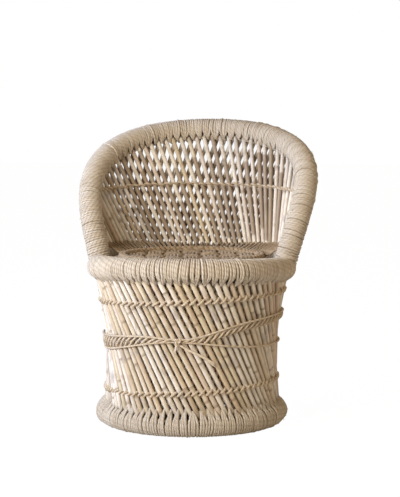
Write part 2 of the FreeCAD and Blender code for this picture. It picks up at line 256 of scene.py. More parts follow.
def reed_point(reed, height):
    return place(reed_angle(reed, height), layer_radius(reed.layer, height, reed.diameter), height)


def depth_under_rim(point):
    """How far a point lies inside the wall from the middle line of the rim above it."""
    found = [(BESIDE_RIM, BESIDE_RIM)]
    for line in (back_line, seat_line):
        along, depth, distance = nearest_on(line, point)
        if 0.0 < along < line.along[-1]:
            found.append((distance, depth))
    return min(found)[1]


def reed_top(reed):
    """Height at which a reed reaches the middle of the rim above it."""
    reach = reed.diameter / 2 + REED_END_CLEARANCE
    low = WAIST_HEIGHT
    while depth_under_rim(reed_point(reed, low + SEARCH_STEP)) > reach:
        low += SEARCH_STEP
    high = low + SEARCH_STEP
    for i in range(BISECTIONS):
        middle = (low + high) / 2
        if depth_under_rim(reed_point(reed, middle)) > reach:
            low = middle
        else:
            high = middle
    return low


def standing_reeds(layer, diameter, gap, first, last):
    """Evenly spaced reeds of one layer that pass the seat rim's height between two angles."""
    waist, slope = layer_shape(-1, diameter)
    room = (last - first) * waist * math.cos(math.atan(slope))
    count = int(room / (diameter + gap))
    stagger = 0.5 - layer * LAYER_STAGGER_SHARE
    found = []
    for k in range(count):
        turn = first + (last - first) * (k + stagger) / count - swing(layer, diameter, SEAT_RIM_HEIGHT)
        reed = Reed(layer, diameter, turn)
        found.append(reed._replace(top=reed_top(reed)))
    return found


def reeds_of(layer):
    """Slim reeds of the back from arm to arm, then stout ones round the front."""
    slim = standing_reeds(layer, BACK_REED_DIAMETER, BACK_REED_GAP, -ARM_ANGLE, ARM_ANGLE)
    return slim + standing_reeds(layer, REED_DIAMETER, REED_GAP, ARM_ANGLE, FULL_TURN - ARM_ANGLE)


reeds = {layer: reeds_of(layer) for layer in LAYERS.values()}

REED_SAMPLES = 90
WIDEST_PLEAT = 0.018


def reed_gaps(line, layer):
    """Lengths along a rim where rope can pass between two reeds of a layer."""
    crossings = []
    for reed in reeds[layer]:
        before = None
        for i in range(REED_SAMPLES + 1):
            height = base_rim_height + (reed.top - base_rim_height) * i / REED_SAMPLES
            along, depth, distance = nearest_on(line, reed_point(reed, height))
            near = distance < BESIDE_RIM
            if near and before is not None and (before - RIM_RADIUS) * (depth - RIM_RADIUS) <= 0:
                crossings.append(along)
                break
            before = depth if near else None
    crossings.sort()
    gaps = []
    for start, end in zip([0] + crossings, crossings + [line.along[-1]]):
        count = max(1, math.ceil((end - start) / WIDEST_PLEAT))
        gaps += [start + (end - start) * (k + 0.5) / count for k in range(count)]
    return np.array(gaps)


# Linear colours of the dry fibres

Tones = namedtuple("Tones", "pale mid dark")
ROPE = Tones(pale=(0.690, 0.605, 0.490), mid=(0.540, 0.440, 0.320), dark=(0.290, 0.205, 0.125))
# The seat's tones are darker than the rim rope's as painted shade for the dark gaps in its weave
SEAT_SHADED = Tones(pale=(0.440, 0.326, 0.206), mid=(0.303, 0.203, 0.114), dark=(0.120, 0.072, 0.036))
TWINE = Tones(pale=(0.690, 0.570, 0.420), mid=(0.550, 0.425, 0.285), dark=(0.260, 0.170, 0.095))
TAIL = Tones(pale=(0.800, 0.690, 0.540), mid=TWINE.pale, dark=TWINE.mid)
# Painted shade: the seat's rope is multiplied by this colour low in its weave, where its hollows lie in
# shade
SEAT_HOLLOW_SHADE = (0.420, 0.330, 0.250)
REED_CREAM = (0.810, 0.740, 0.640)
REED_PINK = (0.580, 0.435, 0.320)
REED_YELLOW = (0.640, 0.530, 0.345)
REED_GREY = (0.340, 0.285, 0.250)
REED_BROWN = (0.400, 0.290, 0.180)
REED_JOINT = (0.250, 0.165, 0.095)
WHITE = (1.0, 1.0, 1.0)

# Marks: the values between which a mask takes hold, and how strongly it tints at most
Mark = namedtuple("Mark", "low high share")
STRAND_TONE = Mark(0.32, 0.68, 1.0)
CORD_STAIN = Mark(0.0, 1.0, 0.35)
CORD_BLEACH = Mark(0.0, 1.0, 0.30)
STREAK = Mark(0.42, 0.68, 0.45)
REED_STAIN = Mark(0.0, 1.0, 0.75)
BLOTCH = Mark(0.52, 0.70, 0.55)
JOINT_RING = Mark(0.92, 1.0, 0.75)
FLECK = Mark(0.55, 0.75, 0.22)
FIBRE_STREAK = Mark(0.35, 0.65, 1.0)
SUN_BLEACH = Mark(0.30, 0.70, 1.0)
WEATHERED = Mark(0.55, 0.76, 1.0)

# Twist of the cords
PLIES = 2.0
PLY_FIBRE_SHARE = 0.7
PLY_GROOVE_WIDTH = 0.7
STRAND_STRETCH = 0.4


# Nodes that the materials share

def feed(tree, socket, value):
    """Sets a socket to a number, a vector or a colour, or links another node's output to it."""
    if isinstance(value, bpy.types.NodeSocket):
        tree.links.new(value, socket)
    else:
        socket.default_value = value + (1.0,) if isinstance(value, tuple) else value


def new_node(tree, kind, inputs=(), **settings):
    node = tree.nodes.new("ShaderNode" + kind)
    for setting, value in settings.items():
        setattr(node, setting, value)
    for label, value in dict(inputs).items():
        feed(tree, node.inputs[label], value)
    return node


def math_node(tree, operation, *values):
    return new_node(tree, "Math", enumerate(values), operation=operation).outputs[0]


def mix_colour(tree, factor, first, second, blend="MIX"):
    given = {0: factor, 6: first, 7: second}
    return new_node(tree, "Mix", given, data_type="RGBA", blend_type=blend).outputs[2]


def noise(tree, vector, scale=1.0, detail=3.0, roughness=0.55):
    given = {"Vector": vector, "Scale": scale, "Detail": detail, "Roughness": roughness}
    return new_node(tree, "TexNoise", given).outputs["Fac"]


def ramp(tree, value, low, high, start=0.0, end=1.0):
    """Runs from start to end while a value runs from low to high."""
    given = {"Value": value, "From Min": low, "From Max": high, "To Min": start, "To Max": end}
    return new_node(tree, "MapRange", given).outputs["Result"]


def masked(tree, value, mark):
    return ramp(tree, value, mark.low, mark.high, 0.0, mark.share)


def marked(tree, colour, value, mark, tint):
    """A colour that is tinted where a value lies within a mark."""
    return mix_colour(tree, masked(tree, value, mark), colour, tint)


def mapped(tree, vector, scale=(1, 1, 1), shift=0.0):
    given = {"Vector": vector, "Location": Vector((shift, shift, shift)), "Scale": Vector(scale)}
    return new_node(tree, "Mapping", given).outputs["Vector"]


def split(tree, vector):
    return new_node(tree, "SeparateXYZ", {"Vector": vector}).outputs


def uv_map(tree):
    return new_node(tree, "UVMap", uv_map="UVMap").outputs["UV"]


def object_place(tree):
    return new_node(tree, "TexCoord").outputs["Object"]


def attribute(tree, name):
    return new_node(tree, "Attribute", attribute_name=name).outputs["Fac"]


def new_group(name, given, *made):
    """A node group with one number given, and numbers made from it."""
    group = bpy.data.node_groups.new(name, "ShaderNodeTree")
    group.interface.new_socket(given, in_out="INPUT", socket_type="NodeSocketFloat")
    for label in made:
        group.interface.new_socket(label, in_out="OUTPUT", socket_type="NodeSocketFloat")
    number = group.nodes.new("NodeGroupInput").outputs[given]
    return group, number, group.nodes.new("NodeGroupOutput").inputs


def make_twist_group():
    """Plies laid round each other along a cord's UV map, with loose fibres on top."""
    group, lays, made = new_group("twisted_plies", "Lays", "Height", "Groove")
    uv = split(group, uv_map(group))
    run = math_node(group, "MULTIPLY", uv["X"], lays)
    phase = math_node(group, "MULTIPLY_ADD", uv["Y"], PLIES, run)
    wave = math_node(group, "SINE", math_node(group, "MULTIPLY", phase, FULL_TURN))
    half_wave = math_node(group, "SINE", math_node(group, "MULTIPLY", phase, math.pi))
    fibres = noise(group, object_place(group), scale=2600.0, detail=2.0)
    ply = math_node(group, "ABSOLUTE", half_wave)
    feed(group, made["Height"], math_node(group, "MULTIPLY_ADD", fibres, PLY_FIBRE_SHARE, ply))
    feed(group, made["Groove"], ramp(group, wave, -1.0, PLY_GROOVE_WIDTH - 1.0))
    return group


def make_patch_group():
    """Slow changes of tone over the chair: sun-bleached, darker and greyer places."""
    group, size, made = new_group("dry_patches", "Size", "Tone", "Stain")
    for label, mark, shift in (("Tone", SUN_BLEACH, 0.0), ("Stain", WEATHERED, 3.7)):
        moved = mapped(group, object_place(group), shift=shift)
        patches = noise(group, moved, scale=size, detail=4.0, roughness=0.5)
        group.links.new(masked(group, patches, mark), made[label])
    return group


twisted_plies = make_twist_group()
dry_patches = make_patch_group()


def placed(tree, group, **values):
    """Places a node group with its own values, and gives what it makes."""
    return new_node(tree, "Group", values, node_tree=group).outputs


# Materials

def new_material(name, looks):
    material = bpy.data.materials.new(name)
    material.use_nodes = True
    shader = material.node_tree.nodes["Principled BSDF"]
    for label, value in looks.items():
        shader.inputs[label].default_value = value
    return material, material.node_tree, shader


def add_bump(tree, shader, height, strength, distance):
    bump = new_node(tree, "Bump", {"Strength": strength, "Distance": distance, "Height": height})
    tree.links.new(bump.outputs["Normal"], shader.inputs["Normal"])


def fibre_cord(name, tones, lays, runs, shade_heights=None):
    """Twisted plant-fibre cord with painted shade in the grooves between its plies. Lays is how often its
    plies turn along it, runs how often its tone changes, and shade_heights the heights below which painted
    shade darkens it fully and above which it is clear again."""
    material, tree, shader = new_material(name, {"Roughness": 0.86, "Specular IOR Level": 0.18,
                                                 "Sheen Weight": 0.15, "Sheen Roughness": 0.6})
    twist = placed(tree, twisted_plies, Lays=lays)
    patches = placed(tree, dry_patches, Size=26.0)
    strands = noise(tree, mapped(tree, uv_map(tree), scale=(runs, STRAND_STRETCH, 1)), detail=2.0)
    colour = marked(tree, tones.mid, strands, STRAND_TONE, tones.pale)
    colour = marked(tree, colour, patches["Stain"], CORD_STAIN, tones.dark)
    colour = marked(tree, colour, patches["Tone"], CORD_BLEACH, tones.pale)
    # Painted shade: the grooves between the plies are darkened with the cord's dark tone
    groove_shade = mix_colour(tree, 1.0, colour, tones.dark, "MULTIPLY")
    colour = mix_colour(tree, ramp(tree, twist["Groove"], 0.0, 1.0, start=0.72), groove_shade, colour)
    # Painted shade, darkest low in the weave and fading out towards its top
    if shade_heights:
        hollow_shaded = mix_colour(tree, 1.0, colour, SEAT_HOLLOW_SHADE, "MULTIPLY")
        height = split(tree, object_place(tree))["Z"]
        colour = mix_colour(tree, ramp(tree, height, shade_heights[0], shade_heights[1]), hollow_shaded, colour)
    tree.links.new(colour, shader.inputs["Base Color"])
    add_bump(tree, shader, twist["Height"], strength=0.5, distance=0.0005)
    return material


def reed_skin():
    """Dry reed: pale skin with lengthwise streaks, brown blotches, darker joints and weathered stains."""
    material, tree, shader = new_material("dry_reed", {"Specular IOR Level": 0.27})
    uv = uv_map(tree)
    streaks = noise(tree, mapped(tree, uv, scale=(14.0, 9.0, 1)), detail=4.0, roughness=0.6)
    flecks = noise(tree, mapped(tree, uv, scale=(60.0, 30.0, 1)))
    blotches = noise(tree, mapped(tree, uv, scale=(2.0, 48.0, 1)))
    patches = placed(tree, dry_patches, Size=34.0)
    skin = mix_colour(tree, attribute(tree, "warmth"), REED_YELLOW, REED_PINK)
    colour = mix_colour(tree, attribute(tree, "tone"), skin, REED_CREAM)
    colour = marked(tree, colour, streaks, STREAK, skin)
    colour = marked(tree, colour, patches["Stain"], REED_STAIN, REED_GREY)
    colour = marked(tree, colour, blotches, BLOTCH, REED_BROWN)
    colour = marked(tree, colour, attribute(tree, "joint"), JOINT_RING, REED_JOINT)
    colour = marked(tree, colour, flecks, FLECK, REED_JOINT)
    tree.links.new(colour, shader.inputs["Base Color"])
    tree.links.new(ramp(tree, streaks, 0.0, 1.0, start=0.42, end=0.70), shader.inputs["Roughness"])
    add_bump(tree, shader, flecks, strength=0.25, distance=0.0004)
    return material


def plain_fibre(name, pale, dark, scale):
    """Packed grass or split cane inside the rims, streaked at one scale."""
    material, tree, shader = new_material(name, {"Roughness": 0.8, "Specular IOR Level": 0.2})
    streaks = noise(tree, object_place(tree), scale, detail=5.0, roughness=0.65)
    tree.links.new(marked(tree, dark, streaks, FIBRE_STREAK, pale), shader.inputs["Base Color"])
    add_bump(tree, shader, streaks, strength=0.6, distance=0.0008)
    return material


dry_reed = reed_skin()
packed_grass = plain_fibre("packed_grass", pale=(0.42, 0.33, 0.22), dark=(0.22, 0.15, 0.09), scale=320.0)
bent_cane = plain_fibre("bent_cane", pale=(0.36, 0.27, 0.17), dark=(0.22, 0.15, 0.085), scale=120.0)


# Pieces

def into_scene(name, data):
    thing = bpy.data.objects.new(name, data)
    bpy.context.scene.collection.objects.link(thing)
    return thing


def mesh_object(name, shape, material):
    mesh = bpy.data.meshes.new(name)
    shape.to_mesh(mesh)
    shape.free()
    mesh.materials.append(material)
    return into_scene(name, mesh)


def finish_piece(piece, slot, *nodes):
    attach(piece, "root")
    if nodes:
        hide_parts(*nodes)
    return piece


def cord_piece(name, routes, radius, material, slot, *nodes, closed=False, smooth=True, roundness=1):
    """A round cord along one or more routes: smooth routes are splines with the points as handles."""
    curve = bpy.data.curves.new(name, "CURVE")
    curve.dimensions = "3D"
    curve.bevel_depth = radius
    curve.bevel_resolution = roundness
    curve.resolution_u = 3
    curve.use_fill_caps = not closed
    for route in routes:
        spline = curve.splines.new("NURBS" if smooth else "POLY")
        spline.points.add(len(route) - 1)
        for point, at in zip(spline.points, route):
            point.co = (at[0], at[1], at[2], 1.0)
        if smooth:
            spline.order_u = 3
            spline.use_endpoint_u = not closed
        spline.use_cyclic_u = closed
        spline.use_smooth = True
    curve.materials.append(material)
    return finish_piece(into_scene(name, curve), slot, *nodes)


def dress(material, *nodes):
    """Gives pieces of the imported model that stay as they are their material."""
    for node in nodes:
        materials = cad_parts[node].data.materials
        materials.clear()
        materials.append(material)


dress(packed_grass, "base_rim_bundle", "seat_rim_bundle", "back_rim_bundle")
dress(bent_cane, "base_outer_hoop", "base_inner_hoop", "seat_outer_hoop", "seat_inner_hoop",
      "back_outer_hoop", "back_inner_hoop", "seat_hoop")


# Wound rope: leans and strays are counted in pitches, waves in radians to a metre of rim

ROPE_RADIUS = 0.0022
ROPE_PITCH = 0.0038
ROPE_STEPS = 20
ROPE_LAY = 0.0085
ROPE_TONES_PER_TURN = 0.8
RAISED_TURN_SHARE = 0.06
RAISED_TURN_LIFT = 0.0009
TURN_SINK = 0.0005
TURN_STRAY = 0.17
LEAN_WAVES = (95, 41)
LEAN_DRIFT = 1.1
LEAN_STRAY = 0.7
PLEAT_START = math.radians(38.0)
PLEAT_SINK = 0.0058
PLEAT_TUCK = 0.004
PLEAT_LEAST_SHARE = 0.3
PLEAT_SPREAD = 0.0011


def smooth_step(value):
    value = min(max(value, 0.0), 1.0)
    return value * value * (3 - 2 * value)


def nearest_gap(gaps, along):
    return gaps[np.argmin(np.abs(gaps - along))]


def wound_route(line, seed, drop, held, blend):
    """One rope round a rim, turn on turn, drawn together in pleats where it passes between the reeds."""
    chance = random.Random(seed)
    outer_gaps = reed_gaps(line, 1)
    inner_gaps = reed_gaps(line, -1)
    total = line.along[-1]
    turns = int(total / ROPE_PITCH)
    # The third start isn't used: it keeps the draws after it in their order
    starts = [chance.uniform(0, FULL_TURN) for k in range(3)]
    spots = []

    def add(at, side, inward):
        spots.append((min(max(at, 0), total), side, inward))

    for turn in range(turns):
        centre = (turn + 0.5) * ROPE_PITCH
        drift = sum(math.sin(centre * wave + start) for wave, start in zip(LEAN_WAVES, starts))
        lean = ROPE_PITCH * (LEAN_DRIFT * drift + chance.uniform(-LEAN_STRAY, LEAN_STRAY))
        centre += chance.uniform(-TURN_STRAY, TURN_STRAY) * ROPE_PITCH
        sink = -RAISED_TURN_LIFT if chance.random() < RAISED_TURN_SHARE else chance.uniform(0.0, TURN_SINK)
        outer = nearest_gap(outer_gaps, centre)
        inner = nearest_gap(inner_gaps, centre)
        radius = RIM_RADIUS - ROPE_RADIUS - sink
        tip_depth = RIM_RADIUS + drop * chance.uniform(PLEAT_LEAST_SHARE, 1.0) - PLEAT_TUCK
        spread = chance.uniform(-PLEAT_SPREAD, PLEAT_SPREAD)
        add(outer + spread, PLEAT_SINK, tip_depth)
        for step in range(ROPE_STEPS + 1):
            share = step / ROPE_STEPS
            angle = PLEAT_START + (FULL_TURN - 2 * PLEAT_START) * share
            at = centre + lean * (share - 0.5)
            for gap, past in ((outer, angle - PLEAT_START), (inner, FULL_TURN - PLEAT_START - angle)):
                at += (gap - at) * (1 - smooth_step(past / blend)) * (1 - held)
            add(at, radius * math.sin(angle), radius * math.cos(angle))
        add(inner + spread, -PLEAT_SINK, tip_depth)
    points = along_rim(line, *np.array(spots).T)
    points[:, 2] = np.maximum(points[:, 2], ROPE_RADIUS)
    return points, turns


def wound_rim(name, line, node, seed, drop, held, blend, tone):
    """The rope of one rim. Its pleats hang by drop and are drawn together over the blend in degrees,
    less so the more they are held, and tone is how pale the rope is."""
    route, turns = wound_route(line, seed, drop, held, math.radians(blend))
    length = float(np.linalg.norm(np.diff(route, axis=0), axis=1).sum())
    tones = Tones(*(tuple(tone * part for part in colour) for colour in ROPE))
    fibre = fibre_cord(name + "_fibre", tones, lays=length / ROPE_LAY, runs=turns * ROPE_TONES_PER_TURN)
    cord_piece(name, [route], ROPE_RADIUS, fibre, "rope", node, smooth=False, roundness=2)


wound_rim("base_rope", base_line, "base_rim_wrap", 21, drop=0.0105, held=0.62, blend=48.0, tone=0.91)
wound_rim("seat_rim_rope", seat_line, "seat_rim_wrap", 22, drop=0.0070, held=0.55, blend=48.0, tone=1.03)
wound_rim("back_rim_rope", back_line, "back_rim_wrap", 23, drop=0.0045, held=0.66, blend=28.0, tone=0.96)

FIBRE_RADIUS = 0.0003
FIBRES_PER_METRE = 45
FIBRE_LIFT = 0.0018
FIBRE_LEAST_SHARE = 0.3
FIBRE_SWEEP = 0.5
FIBRE_SHIFT = 0.006
FIBRE_STRETCH = (0.02, 0.98)
FIBRE_RUN = np.array([0.0, 0.5, 1.0])


def loose_fibres(line, seed):
    """Fibres that have worked loose from a rim's rope: they leave its skin and bend away."""
    chance = random.Random(seed)
    total = line.along[-1]
    routes = []
    for k in range(int(total * FIBRES_PER_METRE)):
        along = chance.uniform(*FIBRE_STRETCH) * total
        angle = chance.uniform(PLEAT_START, FULL_TURN - PLEAT_START)
        sweep = chance.uniform(-FIBRE_SWEEP, FIBRE_SWEEP)
        shift = chance.uniform(-FIBRE_SHIFT, FIBRE_SHIFT)
        lift = chance.uniform(FIBRE_LEAST_SHARE, 1.0) * FIBRE_LIFT
        radii = np.array([RIM_RADIUS - ROPE_RADIUS, RIM_RADIUS + lift / 2, RIM_RADIUS + lift])
        angles = angle + sweep * FIBRE_RUN
        places = np.clip(along + shift * FIBRE_RUN, 0, total)
        points = along_rim(line, places, radii * np.sin(angles), radii * np.cos(angles))
        points[:, 2] = np.maximum(points[:, 2], FIBRE_RADIUS)
        routes.append(points)
    return routes


fibre_routes = loose_fibres(base_line, 24) + loose_fibres(seat_line, 25) + loose_fibres(back_line, 26)
hair = fibre_cord("loose_fibre", ROPE, lays=2.0, runs=2.0)
cord_piece("loose_rope_fibres", fibre_routes, FIBRE_RADIUS, hair, "rope", roundness=0)


# Reeds

REED_SIDES = 8
REED_RINGS = 5
REED_STRAY = 0.0014
REED_TONE_SPREAD = 0.40
JOINT_SPACING = 0.135
JOINT_SPACING_SHARES = (0.8, 1.25)
FIRST_JOINT_SHARES = (0.1, 0.9)
JOINT_GIRTH = 1.06
SKIN_OFFSET = 50
LEVEL_DIGITS = 6
QUARTERS = ("back", "right", "front", "left")

# Mean tone of a kind of reed, its girth at the foot, and how much it swells to a metre of its length
ReedKind = namedtuple("ReedKind", "tone girths swells")
# The slim reeds' higher tone is partly painted light: it was raised to make the back's inner wall brighter
SLIM_REED = ReedKind(tone=0.95, girths=(0.97, 1.05), swells=(-0.06, 0.10))
STOUT_REED = ReedKind(tone=0.50, girths=(0.90, 0.98), swells=(0.0, 0.25))


def stray(chance):
    """A small shift, because no reed stands exactly in line."""
    return Vector((chance.uniform(-1, 1), chance.uniform(-1, 1), 0)) * REED_STRAY


def joint_places(length, chance):
    """Lengths up a reed at which its joints lie."""
    joints = []
    at = chance.uniform(*FIRST_JOINT_SHARES) * JOINT_SPACING
    while at < length:
        joints.append(at)
        at += JOINT_SPACING * chance.uniform(*JOINT_SPACING_SHARES)
    return joints


def snap_rings_to_joints(levels, joints):
    """Moves the ring nearest each joint onto it: for each ring, where it lies and whether at a joint."""
    moved = {level: (level, False) for level in levels}
    for joint in joints:
        free = [level for level in levels[1:-1] if not moved[level][1]]
        if free:
            moved[min(free, key=lambda level: abs(level - joint))] = (joint, True)
    return dict(zip(levels, sorted(moved.values())))


def plain_rod(radius, length):
    """An upright rod with rings of points along it."""
    shape = bmesh.new()
    bmesh.ops.create_cone(shape, cap_ends=True, segments=REED_SIDES, radius1=radius,
                          radius2=radius, depth=length)
    long_edges = [e for e in shape.edges if abs(e.verts[0].co.z - e.verts[1].co.z) > length / 2]
    bmesh.ops.subdivide_edges(shape, edges=long_edges, cuts=REED_RINGS)
    return shape


def grow_joints(shape, length, kind, chance):
    """Gives a rod the joints and girth of a reed, and keeps its tone and joints as attributes."""
    tone_layer, warmth_layer, joint_layer = map(shape.verts.layers.float.new, ("tone", "warmth", "joint"))
    levels = sorted({round(v.co.z + length / 2, LEVEL_DIGITS) for v in shape.verts})
    moved = snap_rings_to_joints(levels, joint_places(length, chance))
    tone = min(max(chance.gauss(kind.tone, REED_TONE_SPREAD), 0.0), 1.0)
    warmth = chance.random()
    size = chance.uniform(*kind.girths)
    swell = chance.uniform(*kind.swells)
    for vert in shape.verts:
        at, is_joint = moved[round(vert.co.z + length / 2, LEVEL_DIGITS)]
        girth = size * (1 + swell * at)
        if is_joint:
            girth *= JOINT_GIRTH
        vert.co.x *= girth
        vert.co.y *= girth
        vert.co.z = at - length / 2
        vert[tone_layer] = tone
        vert[warmth_layer] = warmth
        vert[joint_layer] = 1.0 if is_joint else 0.0


def lay_skin(shape, chance):
    """Maps a reed's own stretch of skin onto it."""
    uv_layer = shape.loops.layers.uv.new("UVMap")
    offset = chance.uniform(0, SKIN_OFFSET)
    for face in shape.faces:
        for loop in face.loops:
            around = math.atan2(loop.vert.co.y, loop.vert.co.x) / FULL_TURN + 0.5
            loop[uv_layer].uv = (around + offset, loop.vert.co.z + offset)
        face.smooth = len(face.verts) == 4


def one_reed(reed, chance):
    """A straight reed from the base rim up to its end."""
    radius = reed.diameter / 2
    start = reed_point(reed, base_rim_height + radius + REED_END_CLEARANCE) + stray(chance)
    end = reed_point(reed, reed.top) + stray(chance)
    length = (end - start).length
    shape = plain_rod(radius, length)
    grow_joints(shape, length, SLIM_REED if reed.diameter < REED_DIAMETER else STOUT_REED, chance)
    lay_skin(shape, chance)
    lean = UP.rotation_difference(end - start).to_matrix().to_4x4()
    bmesh.ops.transform(shape, matrix=Matrix.Translation((start + end) / 2) @ lean, verts=shape.verts)
    return shape


def reed_group(layer_name, quarter):
    """The reeds of one layer that pass the waist in one quarter, as one piece."""
    chance = random.Random(layer_name + quarter)
    whole = bmesh.new()
    for reed in reeds[LAYERS[layer_name]]:
        if QUARTERS[round(reed.turn / (math.pi / 2)) % len(QUARTERS)] != quarter:
            continue
        single = one_reed(reed, chance)
        passing = bpy.data.meshes.new("one_reed")
        single.to_mesh(passing)
        single.free()
        whole.from_mesh(passing)
        bpy.data.meshes.remove(passing)
    node = layer_name + "_reeds_" + quarter
    finish_piece(mesh_object(node + "_skin", whole, dry_reed), "reed", node)


for reed_layer in LAYERS:
    for reed_quarter in QUARTERS:
        reed_group(reed_layer, reed_quarter)


# Twined bands: pairs of twine that cross between the reeds, so each reed carries one slanted stitch

TWINE_RADIUS = 0.0020
DRUM_STITCH_RISE = 0.0042
BACK_STITCH_RISE = 0.0014
STITCH_RISE_SHARES = (0.75, 1.3)
STITCH_HEIGHT_STRAY = 0.0011
BACK_BAND_BOW = 0.007
BACK_BAND_TUCK_SHARE = 0.8

# Stitch points: shares of the reach aside, of the rise, and of the way from a reed's middle to its face
TWINED_STITCH = ((1.0, -1.0, -0.2), (0.6, -0.65, 0.85), (0.0, 0.0, 1.05), (-0.6, 0.65, 0.85),
                 (-1.0, 1.0, -0.2))
LACING_STITCH = ((1.0, 0.0, 0.3), (0.75, 0.08, 1.0), (0.1, 0.46, 1.35), (-0.7, 0.88, 1.15),
                 (-1.0, 1.0, 0.6))

twine = fibre_cord("tied_twine", TWINE, lays=420.0, runs=150.0)


def stitched(layer, stitch, angle, reach, height, rise, size, radius):
    """The route of one stitch, of twine of a radius, across a reed of a size."""
    route = []
    for aside, up, lift in stitch:
        proud = (size / 2 + radius) * lift - size / 2
        route.append(face_point(layer, angle + reach * aside, height + rise * up, proud))
    return route


def twined_routes(layer, tied, height_at, stitch_rise, chance):
    """Two routes that take turns over and behind the reeds, given as (angle, half spacing) pairs."""
    routes = ([], [])
    for order, (angle, half) in enumerate(tied):
        height = height_at(angle) + chance.uniform(-STITCH_HEIGHT_STRAY, STITCH_HEIGHT_STRAY)
        rise = stitch_rise * chance.uniform(*STITCH_RISE_SHARES)
        size = reed_size(layer, angle, height)
        for which in (0, 1):
            if (order + which) % 2:
                routes[which].append(face_point(layer, angle, height, -size))
            else:
                stitch = stitched(layer, TWINED_STITCH, angle, half, height, rise, size, TWINE_RADIUS)
                routes[which].extend(stitch)
    return routes


def reeds_at(layer, height_at, reach=WHOLE_TURN):
    """Angles and half spacings of a layer's reeds at a band, from left to right seen from the front."""
    angles = []
    for reed in reeds[layer]:
        height = height_at(reed_angle(reed, height_at(reed.turn)))
        if reed.top > height:
            angle = reed_angle(reed, height) % FULL_TURN
            angles += [angle + turn for turn in (0, -FULL_TURN) if reach[0] <= angle + turn < reach[1]]
    angles.sort(reverse=True)
    found = []
    for k, angle in enumerate(angles):
        before = max(k - 1, 0)
        after = min(k + 1, len(angles) - 1)
        found.append((angle, (angles[before] - angles[after]) / (after - before) / 2))
    return found


def twined_band(band, face, height_at, stitch_rise, reach=WHOLE_TURN):
    """A band on the outer or the inner face of the wall."""
    name = band + "_band_twine_" + face
    layer = LAYERS[face]
    tied = reeds_at(layer, height_at, reach)
    routes = twined_routes(layer, tied, height_at, stitch_rise, random.Random(len(name)))
    cord_piece(name, routes, TWINE_RADIUS, twine, "twine", band + "_band_" + face)


def tilted(height, rise):
    """A height by angle that is level at the front and back, and rises to the right."""
    return lambda angle: height + rise * math.sin(angle)


band_reach = max(angle for angle, height, point in map(arch_place, arch_turns) if height > BACK_BAND_HEIGHT)
band_reach -= BACK_BAND_TUCK_SHARE * RIM_RADIUS / middle_radius(BACK_BAND_HEIGHT)


def bowed(angle):
    """The back band is tied a little higher in the middle of the back than at the arms."""
    return BACK_BAND_HEIGHT + BACK_BAND_BOW * (0.5 - (from_back(angle) / band_reach) ** 2)


for band_face in LAYERS:
    twined_band("lower", band_face, tilted(LOWER_BAND_HEIGHT, LOWER_BAND_RISE), DRUM_STITCH_RISE)
    twined_band("upper", band_face, tilted(UPPER_BAND_HEIGHT, UPPER_BAND_RISE), DRUM_STITCH_RISE)
    twined_band("back", band_face, bowed, BACK_STITCH_RISE, (-band_reach, band_reach))


# Waist lacing

STITCH_DROP = 0.0140
STITCH_REACH_SHARES = (1.44, 1.76)
STITCH_RADIUS = 0.0019
STITCH_CLEAR_ANGLE = math.radians(5.0)
STITCH_CHANGE_ANGLE = math.radians(45.0)
LACING_GAP = 0.004
LACING_DIP = 0.0006
LACING_STEPS_PER_REED = 4


def drawn_to_knot(height, rise, reach, knot_height):
    """A tilted height by angle that is drawn to the knot at the front."""
    def height_at(angle):
        free = height + rise * math.sin(angle)
        pull = math.exp(-(from_back(angle - KNOT_ANGLE) / reach) ** 2)
        return free * (1 - pull) + knot_height * pull
    return height_at


waist_band_height = drawn_to_knot(WAIST_BAND_HEIGHT, WAIST_BAND_RISE, WAIST_BAND_PULL_ANGLE,
                                  KNOT_HEIGHT + CORD_SPREAD / 2)
waist_cord_height = drawn_to_knot(WAIST_CORD_HEIGHT, WAIST_CORD_RISE, WAIST_CORD_PULL_ANGLE,
                                  KNOT_HEIGHT - CORD_SPREAD / 2)


def tied_route(height_at, lift):
    """A cord round the waist, drawn in a little between the reeds."""
    steps = LACING_STEPS_PER_REED * len(reeds[1])
    gap = LACING_GAP / WAIST_RADIUS
    route = []
    for i in range(steps + 1):
        angle = KNOT_ANGLE + gap + (FULL_TURN - 2 * gap) * i / steps
        dip = LACING_DIP * math.sin(angle * len(reeds[1]))
        route.append(face_point(1, angle, height_at(angle), lift + dip))
    return route


def lacing_stitch(angle, half, chance):
    """A slanted stitch: under the rising cord right of the knot, between both cords left of it."""
    reach = half * chance.uniform(*STITCH_REACH_SHARES)
    top = waist_band_height(angle - reach)
    cord = waist_cord_height(angle + reach)
    hung = max(waist_band_height(angle + reach) - STITCH_DROP, cord)
    right_share = smooth_step((from_back(angle) / STITCH_CHANGE_ANGLE + 1) / 2)
    bottom = cord + (hung - cord) * right_share
    return stitched(1, LACING_STITCH, angle, reach, bottom, top - bottom, REED_DIAMETER, STITCH_RADIUS)


laced_twine = fibre_cord("waist_twine", TWINE, lays=160.0, runs=60.0)
stitch_twine = fibre_cord("stitch_twine", TWINE, lays=3.0, runs=2.0)
stitch_chance = random.Random(31)
stitches = [lacing_stitch(angle, half, stitch_chance) for angle, half in reeds_at(1, waist_band_height)
            if abs(angle - KNOT_ANGLE) > STITCH_CLEAR_ANGLE]
band_route = tied_route(waist_band_height, 2 * STITCH_RADIUS)
cord_route = tied_route(waist_cord_height, CORD_RADIUS + LACING_DIP)
cord_piece("waist_band_twine", [band_route], CORD_RADIUS, laced_twine, "twine", "waist_band")
cord_piece("waist_band_stitches", stitches, STITCH_RADIUS, stitch_twine, "twine")
cord_piece("waist_cord_twine", [cord_route], CORD_RADIUS, laced_twine, "twine", "waist_cord")

KNOT_SIZE = 0.0017
KNOT_STEPS = 40
KNOT_PROUD_SHARE = 3.2
KNOT_DEPTH_SHARE = 0.8


